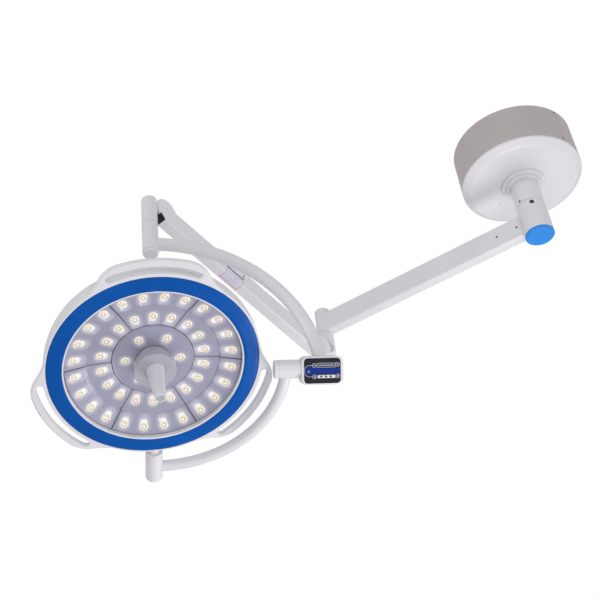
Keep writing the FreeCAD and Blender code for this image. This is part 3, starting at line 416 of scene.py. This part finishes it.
LAMP_ROWS = (
    # count, circle radius, first heading, height of the lens's seat, lean towards the axis
    (24, 241.0, 7.5, -22.5, 18.0),
    (18, 160.5, 10.0, -43.0, 7.2),
    (6, 84.0, 0.0, -47.6, 0.0),
)
OUTER, INNER, CENTRE = LAMP_ROWS


def lamps_of(row, numbers):
    """Circle radius and heading of some lamps of a row."""
    count, radius, start = row[:3]
    return [(radius, start + 360 * i / count) for i in numbers]


# ---------------------------------------------------------------- light panels

WELL_HALF = 13.6
WELL_DEPTH = 5.0
WELL_TAPER = 1.6
WELL_REACH = 30
LIP_INSIDE = 1.6
LIP_OUTSIDE = 1.2
RISE = 0.8
RISE_START = 4.0
# Painted lamp light in each well: fading along the well, dimmer off its middle, and a faint painted halo
# round it.
PAINTED_LIGHT_FADE = 0.86
PAINTED_LIGHT_FADE_START = 6.0
PAINTED_CORE_FADE = 0.45
PAINTED_CORE_START = 0.2
PAINTED_HALO_WIDTH = 13
PAINTED_HALO_LIGHT = 0.16
ROW_SPACING = 2.0
SECTORS = 6
SECTOR_ANGLE = 60
HALF_GAP = 0.35
SECTOR_WELL = 20.0
SECTOR_STEP = 0.5
CENTRE_WELL = 6.0
CENTRE_STEP = 1.0
SECTOR_SECTION = (
    # radius, height
    (126.0, -49.5),
    (126.0, -47.6),
    (126.6, -47.0),
    (200.4, -37.7),
    (201.6, -36.8),
    (204.2, -33.6),
    (205.6, -32.8),
    (265.6, -13.5),
    (266.6, -14.2),
    (266.6, -18.0),
)
CENTRE_SECTION = (
    (51.0, -46.6),
    (118.5, -46.6),
    (119.6, -45.9),
    (123.2, -45.7),
    (124.0, -46.4),
    (124.0, -50.0),
)


def smooth_step(low, high, value):
    t = min(1.0, max(0.0, (value - low) / (high - low)))
    return t * t * (3 - 2 * t)


def well(lamps, length, radius, angle):
    """Depth and painted lamp light of the scooped wells at a point of the panel (radius, degrees).

    Each well starts round its lamp and runs length inwards, narrowing, rising and fading. Its emission
    is painted light standing in for the lamp's light in the well, with a faint painted halo round it.
    """
    depth = 0.0
    glow = 0.0
    x = radius * math.cos(math.radians(angle))
    y = radius * math.sin(math.radians(angle))
    for lamp_radius, lamp_angle in lamps:
        bearing = math.radians(lamp_angle)
        inward = lamp_radius - (x * math.cos(bearing) + y * math.sin(bearing))
        across = y * math.cos(bearing) - x * math.sin(bearing)
        if inward > length + WELL_REACH or inward < -WELL_REACH or abs(across) > WELL_REACH:
            continue
        along = min(max(inward, 0.0), length)
        reach = math.hypot(inward - along, across)
        half = WELL_HALF - WELL_TAPER * along / length
        inside = 1 - smooth_step(half - LIP_INSIDE, half + LIP_OUTSIDE, reach)
        rise = 1 - RISE * smooth_step(RISE_START, length + half, inward)
        depth = max(depth, WELL_DEPTH * inside * rise)
        painted_fade = 1 - PAINTED_LIGHT_FADE * smooth_step(PAINTED_LIGHT_FADE_START, length + half, inward)
        painted_halo = PAINTED_HALO_LIGHT * (1 - smooth_step(half, half + PAINTED_HALO_WIDTH, reach))
        painted_core = 1 - PAINTED_CORE_FADE * smooth_step(PAINTED_CORE_START, 1.0, reach / half)
        glow = max(glow, inside * painted_fade * painted_core, painted_halo)
    return depth, glow


def panel(name, section, lamps, well_length, start, end, step, matrix):
    """Dished panel between two angles: its section finely divided, with the wells pressed in and painted
    lamp light in them.
    """
    rows = []
    for (r0, z0), (r1, z1) in zip(section, section[1:]):
        parts = max(1, round(math.hypot(r1 - r0, z1 - z0) / ROW_SPACING))
        for i in range(parts):
            t = i / parts
            rows.append((r0 + (r1 - r0) * t, z0 + (z1 - z0) * t))
    rows.append(section[-1])
    columns = round((end - start) / step)
    points = []
    glow_and_painted_light_values = []
    for column in range(columns + 1):
        angle = start + (end - start) * column / columns
        a = math.radians(angle)
        for radius, height in rows:
            depth, glow = well(lamps, well_length, radius, angle)
            points.append((radius * math.cos(a), radius * math.sin(a), height - depth))
            glow_and_painted_light_values.append(glow)
    count = len(rows)
    faces = []
    for column in range(columns):
        for row in range(count - 1):
            first = column * count + row
            after = first + count
            faces.append((first, first + 1, after + 1, after))
    mesh = mesh_of(name, points, faces, PAINTED_LIGHT_PANEL, glow_and_painted_light_values)
    return shown(name, mesh, matrix, "lamp_head")


def light_sectors():
    lamps = lamps_of(OUTER, range(4)) + lamps_of(INNER, range(3))
    for index in range(SECTORS):
        place = HEAD @ turn(SECTOR_ANGLE * index)
        sector = panel(
            f"light_sector_{index + 1}", SECTOR_SECTION, lamps, SECTOR_WELL,
            HALF_GAP, SECTOR_ANGLE - HALF_GAP, SECTOR_STEP, place,
        )
        if index == 0:
            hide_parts("light_sectors")


def centre_disc():
    """The lamps go round past 360 degrees, so that wells meet across the disc's seam."""
    lamps = lamps_of(CENTRE, range(-1, 8))
    centre = panel("centre_disc", CENTRE_SECTION, lamps, CENTRE_WELL, 0, 360, CENTRE_STEP, HEAD)
    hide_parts("centre_panel")


# ---------------------------------------------------------------- lenses

LENS_SECTION = (
    # radius, height, glow
    (13.6, -6.0, 0.5),
    (13.6, 0.2, 0.7),
    (13.0, 0.9, 0.95),
    (12.2, 0.6, 0.9),
    (11.9, 1.8, 0.85),
    (10.2, 3.2, 0.8),
    (8.4, 3.6, 0.62),
    (6.6, 2.4, 0.4),
    (5.0, 1.2, 0.36),
    (4.2, 2.2, 0.8),
    (2.4, 3.4, 1.0),
    (0.0, 3.8, 1.0),
)
FACETS = 12
FACET_STEPS = (0.0, 0.45, -0.45)
FACET_ROWS = range(5, 9)
FACET_SHADE = 0.55


def facet(index, step):
    """Shift of the radius that gives the lens's middle rows their facets."""
    return FACET_STEPS[step % len(FACET_STEPS)] if index in FACET_ROWS else 0.0


def lens_mesh():
    """Lens with a facetted ring; two of every six steps of the ring are darker."""
    count = FACETS * len(FACET_STEPS)
    points, faces = lathe([(radius, height) for radius, height, glow in LENS_SECTION], count, facet)
    glow_and_painted_light_values = [
        glow * (FACET_SHADE if index in FACET_ROWS and step % 6 < 2 else 1.0)
        for step in range(count)
        for index, (radius, height, glow) in enumerate(LENS_SECTION)
    ]
    return mesh_of("lens", points, faces, LENS, glow_and_painted_light_values)


def lenses():
    mesh = lens_mesh()
    number = 0
    for count, radius, start, height, lean in LAMP_ROWS:
        tilt = Matrix.Rotation(-math.radians(lean), 4, "Y")
        for i in range(count):
            number += 1
            place = HEAD @ turn(start + 360 * i / count) @ shift(radius, 0, height) @ tilt
            lamp = shown(f"lamp_{number:02d}", mesh, place, "lamp_head")
            if number == 1:
                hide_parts("lamp_lenses")


# ---------------------------------------------------------------- printed keypad

KEYS = {
    "power": (-42.5, -2.0),
    "dimmer_down": (-25.0, 16.5),
    "dimmer_up": (47.5, 18.0),
    "colour_warm": (-25.0, -18.0),
    "colour_cool": (47.5, -17.0),
}
RING_RADIUS = 6.0
RING_LINE = 1.1
LOBE_LINE = 0.9
LOBE_X = -41.0
LOBE_Y = -0.75
LOBE_HALF_WIDTH = 14.4
LOBE_HALF_HEIGHT = 17.25
LOBE_END = -30.6
BAND_Y = -0.7
BAND_ROUND = 14.0
BAND_LEFT = -28.0
BAND_RIGHT = 55.8
BAND_LOW = -9.2
BAND_HIGH = 8.6
DISPLAY = (12.0, 16.6)
DISPLAY_LINE = 1.2
LEVEL_BARS = 9
LEVEL_START = -10.0
LEVEL_PITCH = 5.5
STRIP = (12.5, -18.0)
DOTS_X = (-3.8, 10.9, 25.4)
DOT_RADIUS = 3.3
KEY_TOP = 0.85
SYMBOL_LOW = 0.35
SYMBOL_HIGH = 0.5
SYMBOL_LINE = 0.8
SYMBOL_RADIUS = 2.1
SYMBOL_HALF = 2.2
POWER_LINE = 0.7
POWER_RADIUS = 2.6


def filled(outline):
    return lambda low, high: plate(outline, low, high)


def lined(path, width, closed=False):
    return lambda low, high: ribbon(path, width, low, high, closed)


def printed(name, shapes, material, high):
    """Thin printed layer on the keypad, up to a height above its face."""
    points, faces = joined([shape(0.0, high) for shape in shapes])
    mesh = mesh_of(name, points, faces, material)
    shown(name, mesh, PAD, "outer_yoke", smooth=False)


def keypad_print():
    band = arc(LOBE_X, BAND_Y, BAND_ROUND, 75, 285) + [
        (BAND_LEFT, BAND_LOW), (BAND_RIGHT, BAND_LOW), (BAND_RIGHT, BAND_HIGH), (BAND_LEFT, BAND_HIGH),
    ]
    printed("keypad_band", [filled(band)], INK_BLUE, 0.12)

    round_end = [
        (x, LOBE_Y + (y - LOBE_Y) * LOBE_HALF_HEIGHT / LOBE_HALF_WIDTH)
        for x, y in arc(LOBE_X, LOBE_Y, LOBE_HALF_WIDTH, 90, 270)
    ]
    lobe = [(LOBE_END, LOBE_Y + LOBE_HALF_HEIGHT), *round_end, (LOBE_END, LOBE_Y - LOBE_HALF_HEIGHT)]
    frame_line = rounded_box(*DISPLAY, 57.0, 12.0, 1.2)
    rings = [
        lined(disc(*spot, RING_RADIUS), RING_LINE, closed=True)
        for name, spot in KEYS.items()
        if name != "power"
    ]
    lines = [lined(lobe, LOBE_LINE), lined(frame_line, DISPLAY_LINE, closed=True), *rings]
    printed("keypad_lines", lines, INK_WHITE, 0.22)
    printed("keypad_display", [filled(rounded_box(*DISPLAY, 55.8, 10.8, 0.8))], INK_DARK, 0.1)
    bars = [
        filled(rounded_box(LEVEL_START + LEVEL_PITCH * i, DISPLAY[1], 4.2, 2.6, 0.5))
        for i in range(LEVEL_BARS)
    ]
    printed("keypad_level", bars, INK_WHITE, 0.2)
    printed("keypad_strip", [filled(rounded_box(*STRIP, 55.0, 9.6, 1.2))], INK_WHITE, 0.16)
    dots = [filled(disc(x, STRIP[1], DOT_RADIUS)) for x in DOTS_X]
    printed("keypad_dots", dots, INK_DARK, 0.3)


def key_symbols():
    """Generic symbols on the key caps, each riding with its cap."""
    minus = lined([(-SYMBOL_HALF, 0), (SYMBOL_HALF, 0)], SYMBOL_LINE)
    upright = lined([(0, -SYMBOL_HALF), (0, SYMBOL_HALF)], SYMBOL_LINE)
    open_ring = lined(arc(0, 0, POWER_RADIUS, 120, 420), POWER_LINE)
    stroke = lined([(0, 0.6), (0, 3.2)], POWER_LINE)
    symbols = {
        "power": [open_ring, stroke],
        "dimmer_down": [minus],
        "dimmer_up": [minus, upright],
        "colour_warm": [lined(disc(0, 0, SYMBOL_RADIUS), SYMBOL_LINE, closed=True)],
        "colour_cool": [filled(disc(0, 0, SYMBOL_RADIUS))],
    }
    for key, shapes in symbols.items():
        name = f"{key}_symbol"
        points, faces = joined([shape(SYMBOL_LOW, SYMBOL_HIGH) for shape in shapes])
        mesh = mesh_of(name, points, faces, INK_WHITE)
        place = PAD @ shift(*KEYS[key], KEY_TOP)
        shown(name, mesh, place, f"{key}_button_cap", smooth=False)


# ---------------------------------------------------------------- column and rear cover

# Painted shade: a dark ring filling the column's seam.
SEAM_SHADE_INNER = 46.2
SEAM_SHADE_OUTER = 51.3
SEAM_SHADE_LOW = -298.5
SEAM_SHADE_HIGH = -297.5
COVER_SCREWS = 6
COVER_SCREW_CIRCLE = 290
COVER_SCREW_RADIUS = 4.5
COVER_SCREW_LOW = -78.4
COVER_SCREW_HIGH = -75.0


def dark_disc(name, body, heading, height, radius, start, end):
    """Round dark disc in the column's wall, from start to end along a level heading; in the lock slot it
    is painted shade of the hole.
    """
    points, faces = plate(disc(0, 0, radius), start, end)
    mesh = mesh_of(name, points, faces, LOOKS["rubber"])
    lying = Matrix.Rotation(math.radians(90), 4, "Y")
    place = COLUMN @ shift(0, 0, height) @ turn(heading) @ lying
    shown(name, mesh, place, body, smooth=False)


def column_details():
    dark_disc("brake_plug", "extension_arm", heading=-67, height=-313, radius=8.2, start=47.0, end=50.8)
    # Dark disc near the skin in the lock slot: painted shade of the hole.
    dark_disc("lock_screw_head", "ceiling_mount", heading=-113, height=-287, radius=4.2, start=47.2, end=51.5)
    # Dark ring in the seam between the column and the hub: painted shade of the gap.
    shade_ring = [
        (SEAM_SHADE_INNER, SEAM_SHADE_LOW),
        (SEAM_SHADE_OUTER, SEAM_SHADE_LOW),
        (SEAM_SHADE_OUTER, SEAM_SHADE_HIGH),
        (SEAM_SHADE_INNER, SEAM_SHADE_HIGH),
        (SEAM_SHADE_INNER, SEAM_SHADE_LOW),
    ]
    points, faces = lathe(shade_ring, 96)
    mesh = mesh_of("column_seal", points, faces, LOOKS["rubber"])
    shown("column_seal", mesh, COLUMN, "ceiling_mount")


def cover_screws():
    for index in range(COVER_SCREWS):
        name = f"cover_screw_{index + 1}"
        head = plate(disc(0, 0, COVER_SCREW_RADIUS), COVER_SCREW_LOW, COVER_SCREW_HIGH)
        mesh = mesh_of(name, *head, LOOKS["zinc"])
        place = HEAD @ turn(15 + 360 / COVER_SCREWS * index) @ shift(COVER_SCREW_CIRCLE, 0, 0)
        shown(name, mesh, place, "lamp_head", smooth=False)


# ---------------------------------------------------------------- label and pad on the spring arm

ARM_SIDE = 21.3
ARM_BASE = -56.2
ARM_CORNER = 6.0
ARM_FLAT = ARM_SIDE - ARM_CORNER
QUARTER = ARM_CORNER * math.pi / 2
END_FOOT = 805.0
END_SLOPE_X = 0.797
END_SLOPE_Z = 0.604
LABEL_START = 434
LABEL_END = 520
LABEL_EDGE = 514
LABEL_TOP = 52
LABEL_FOLD = -QUARTER - 30.0
LABEL_LINE = 1.6
RULES_X = (447, 455, 463, 479, 487, 495, 503)
RULES_LOW = LABEL_FOLD + 11
RULES_TOP = 16
RULE_WIDTH = 0.9
BAR_LOW = 21
BAR_TOP = 27
END_PATCH_HALF = 20.5


def around_arm(along, distance, height):
    """Point of the arm's skin: distance up the side from its lower corner, or on round beneath."""
    if distance >= 0:
        return along, ARM_SIDE + height, ARM_BASE + ARM_CORNER + distance
    if distance > -QUARTER:
        angle = distance / ARM_CORNER
        reach = ARM_CORNER + height
        return (
            along,
            ARM_FLAT + reach * math.cos(angle),
            ARM_BASE + ARM_CORNER + reach * math.sin(angle),
        )
    return along, ARM_FLAT + distance + QUARTER, ARM_BASE - height


def end_face(along, distance, height):
    """Point of the arm's slanted end face: along it from the foot, and distance across it."""
    past = max(0.0, abs(distance) - ARM_FLAT)
    angle = past / ARM_CORNER
    reach = ARM_CORNER + height
    across = math.copysign(min(abs(distance), ARM_FLAT) + reach * math.sin(angle), distance)
    out = reach * math.cos(angle) - ARM_CORNER
    return (
        END_FOOT + END_SLOPE_X * along + END_SLOPE_Z * out,
        across,
        ARM_BASE + END_SLOPE_Z * along - END_SLOPE_X * out,
    )


def wrapped(x0, x1, s0, s1, low, high, skin):
    """Points and faces of a thin patch of the arm's skin."""
    count = max(1, round(abs(s1 - s0) / 1.5))
    path = [s0 + (s1 - s0) * i / count for i in range(count + 1)]
    rows = [(x, height) for height in (high, low) for x in (x0, x1)]
    points = [skin(x, s, height) for x, height in rows for s in path]
    size = count + 1
    loop = (0, 1, 3, 2)
    faces = [tuple(k * size for k in loop), tuple(k * size + count for k in reversed(loop))]
    for i in range(count):
        for a, b in zip(loop, loop[1:] + loop[:1]):
            faces.append((a * size + i, a * size + i + 1, b * size + i + 1, b * size + i))
    return points, faces


def on_arm(name, patches, material, low, high, skin=around_arm):
    """Thin layer of patches (from x, to x, from distance, to distance) on the arm's skin."""
    points, faces = joined([wrapped(*patch, low, high, skin) for patch in patches])
    mesh = mesh_of(name, points, faces, material)
    shown(name, mesh, SPRING, "spring_arm", smooth=False)


def arm_label():
    sheet = [(LABEL_START, LABEL_END, LABEL_FOLD, LABEL_TOP)]
    lines = [
        (LABEL_START, LABEL_START + LABEL_LINE, LABEL_FOLD, LABEL_TOP),
        (LABEL_EDGE, LABEL_EDGE + LABEL_LINE, LABEL_FOLD, 26),
        (LABEL_START, LABEL_END + 4, LABEL_FOLD + 2, LABEL_FOLD + 2 + LABEL_LINE),
        (LABEL_START, LABEL_EDGE + 1, LABEL_FOLD + 7, LABEL_FOLD + 8.2),
    ]
    rules = [(x, x + RULE_WIDTH, RULES_LOW, RULES_TOP) for x in RULES_X]
    rules.append((470, 470 + LABEL_LINE, RULES_LOW, RULES_TOP + 3))
    bar = [
        (LABEL_START + 1, LABEL_EDGE + 2, BAR_LOW, BAR_TOP),
        (LABEL_START, LABEL_START + 3, BAR_LOW, LABEL_TOP - 2),
    ]
    on_arm("arm_label", sheet, LABEL_WHITE, 0.02, 0.14)
    on_arm("arm_label_frame", lines, LABEL_RED, 0.14, 0.2)
    on_arm("arm_label_rules", rules, LABEL_BLUE, 0.14, 0.19)
    on_arm("arm_label_bar", bar, LABEL_DARK, 0.14, 0.22)


# Dark layer over the slanted end face of the arm, beside the spindle.
def arm_end_pad():
    dark_patch = [(0.6, 29.0, -END_PATCH_HALF, END_PATCH_HALF)]
    on_arm("arm_end_pad", dark_patch, LOOKS["rubber"], 0.02, 0.5, end_face)


# ---------------------------------------------------------------- stage, light and camera

FLOOR_HALF = 24.0
FLOOR_HEIGHT = -3.0
TARGET = (-0.6, -0.5, -0.6)
LIGHTS = (
    # name, place, target, size, power, colour
    ("key", (-3.2, -4.2, 0.6), TARGET, 2.6, 34.0, (1.0, 0.99, 0.97)),
    ("fill", (3.4, -3.2, -1.6), TARGET, 2.4, 44.0, (0.95, 0.97, 1.0)),
    ("side", (-0.1, 0.6, -2.4), (-0.9, -0.4, -0.4), 1.2, 21.0, (1.0, 1.0, 1.0)),
    ("under", (-0.4, -1.4, -2.9), TARGET, 3.0, 11.0, (1.0, 0.99, 0.98)),
)
CAMERA_PLACE = (0.65236, -2.91401, -2.75994)
CAMERA_YAW = -29.401
CAMERA_PITCH = 37.522
CAMERA_ROLL = 7.961
CAMERA_LENS = 63.33
CAMERA_SENSOR = 36.0


def area_light(name, place, target, size, power, colour):
    lamp = bpy.data.lights.new(name, "AREA")
    lamp.shape = "DISK"
    lamp.size = size
    lamp.energy = power
    lamp.color = colour
    obj = bpy.data.objects.new(name, lamp)
    bpy.context.scene.collection.objects.link(obj)
    obj.location = place
    obj.rotation_euler = (Vector(target) - Vector(place)).to_track_quat("-Z", "Y").to_euler()


def floor():
    corners = [
        (x * FLOOR_HALF, y * FLOOR_HALF, FLOOR_HEIGHT)
        for x, y in ((-1, -1), (1, -1), (1, 1), (-1, 1))
    ]
    mesh = bpy.data.meshes.new("studio_floor")
    mesh.from_pydata(corners, [], [(0, 1, 2, 3)])
    mesh.materials.append(finish("floor_paint", linear(236, 235, 236), 0.7, 60.0, 0.0002, 0.02))
    obj = bpy.data.objects.new("studio_floor", mesh)
    bpy.context.scene.collection.objects.link(obj)


def surroundings():
    """Soft light from all round, and plain white where the camera sees past the floor."""
    world = bpy.data.worlds.new("studio")
    world.use_nodes = True
    nodes = world.node_tree.nodes
    links = world.node_tree.links
    soft = nodes["Background"]
    soft.inputs["Color"].default_value = (0.96, 0.97, 1.0, 1.0)
    soft.inputs["Strength"].default_value = 0.6
    plain = nodes.new("ShaderNodeBackground")
    plain.inputs["Color"].default_value = (1.0, 1.0, 1.0, 1.0)
    plain.inputs["Strength"].default_value = 1.0
    path = nodes.new("ShaderNodeLightPath")
    mix = nodes.new("ShaderNodeMixShader")
    links.new(path.outputs["Is Camera Ray"], mix.inputs["Fac"])
    links.new(soft.outputs["Background"], mix.inputs[1])
    links.new(plain.outputs["Background"], mix.inputs[2])
    links.new(mix.outputs["Shader"], nodes["World Output"].inputs["Surface"])
    bpy.context.scene.world = world


def camera():
    yaw = math.radians(CAMERA_YAW)
    pitch = math.radians(CAMERA_PITCH)
    roll = math.radians(CAMERA_ROLL)
    ahead = Vector((
        math.sin(yaw) * math.cos(pitch),
        math.cos(yaw) * math.cos(pitch),
        math.sin(pitch),
    ))
    level = Vector((math.cos(yaw), -math.sin(yaw), 0.0))
    down = ahead.cross(level)
    right = level * math.cos(roll) + down * math.sin(roll)
    below = down * math.cos(roll) - level * math.sin(roll)
    optics = bpy.data.cameras.new("camera")
    optics.sensor_width = CAMERA_SENSOR
    optics.lens = CAMERA_LENS
    obj = bpy.data.objects.new("camera", optics)
    bpy.context.scene.collection.objects.link(obj)
    obj.matrix_world = axes(Vector(CAMERA_PLACE), right, -below)
    bpy.context.scene.camera = obj


# ---------------------------------------------------------------- build

light_sectors()
centre_disc()
lenses()
keypad_print()
key_symbols()
column_details()
cover_screws()
arm_label()
arm_end_pad()
floor()
surroundings()
for light in LIGHTS:
    area_light(*light)
camera()
bpy.context.scene.view_settings.view_transform = "Standard"
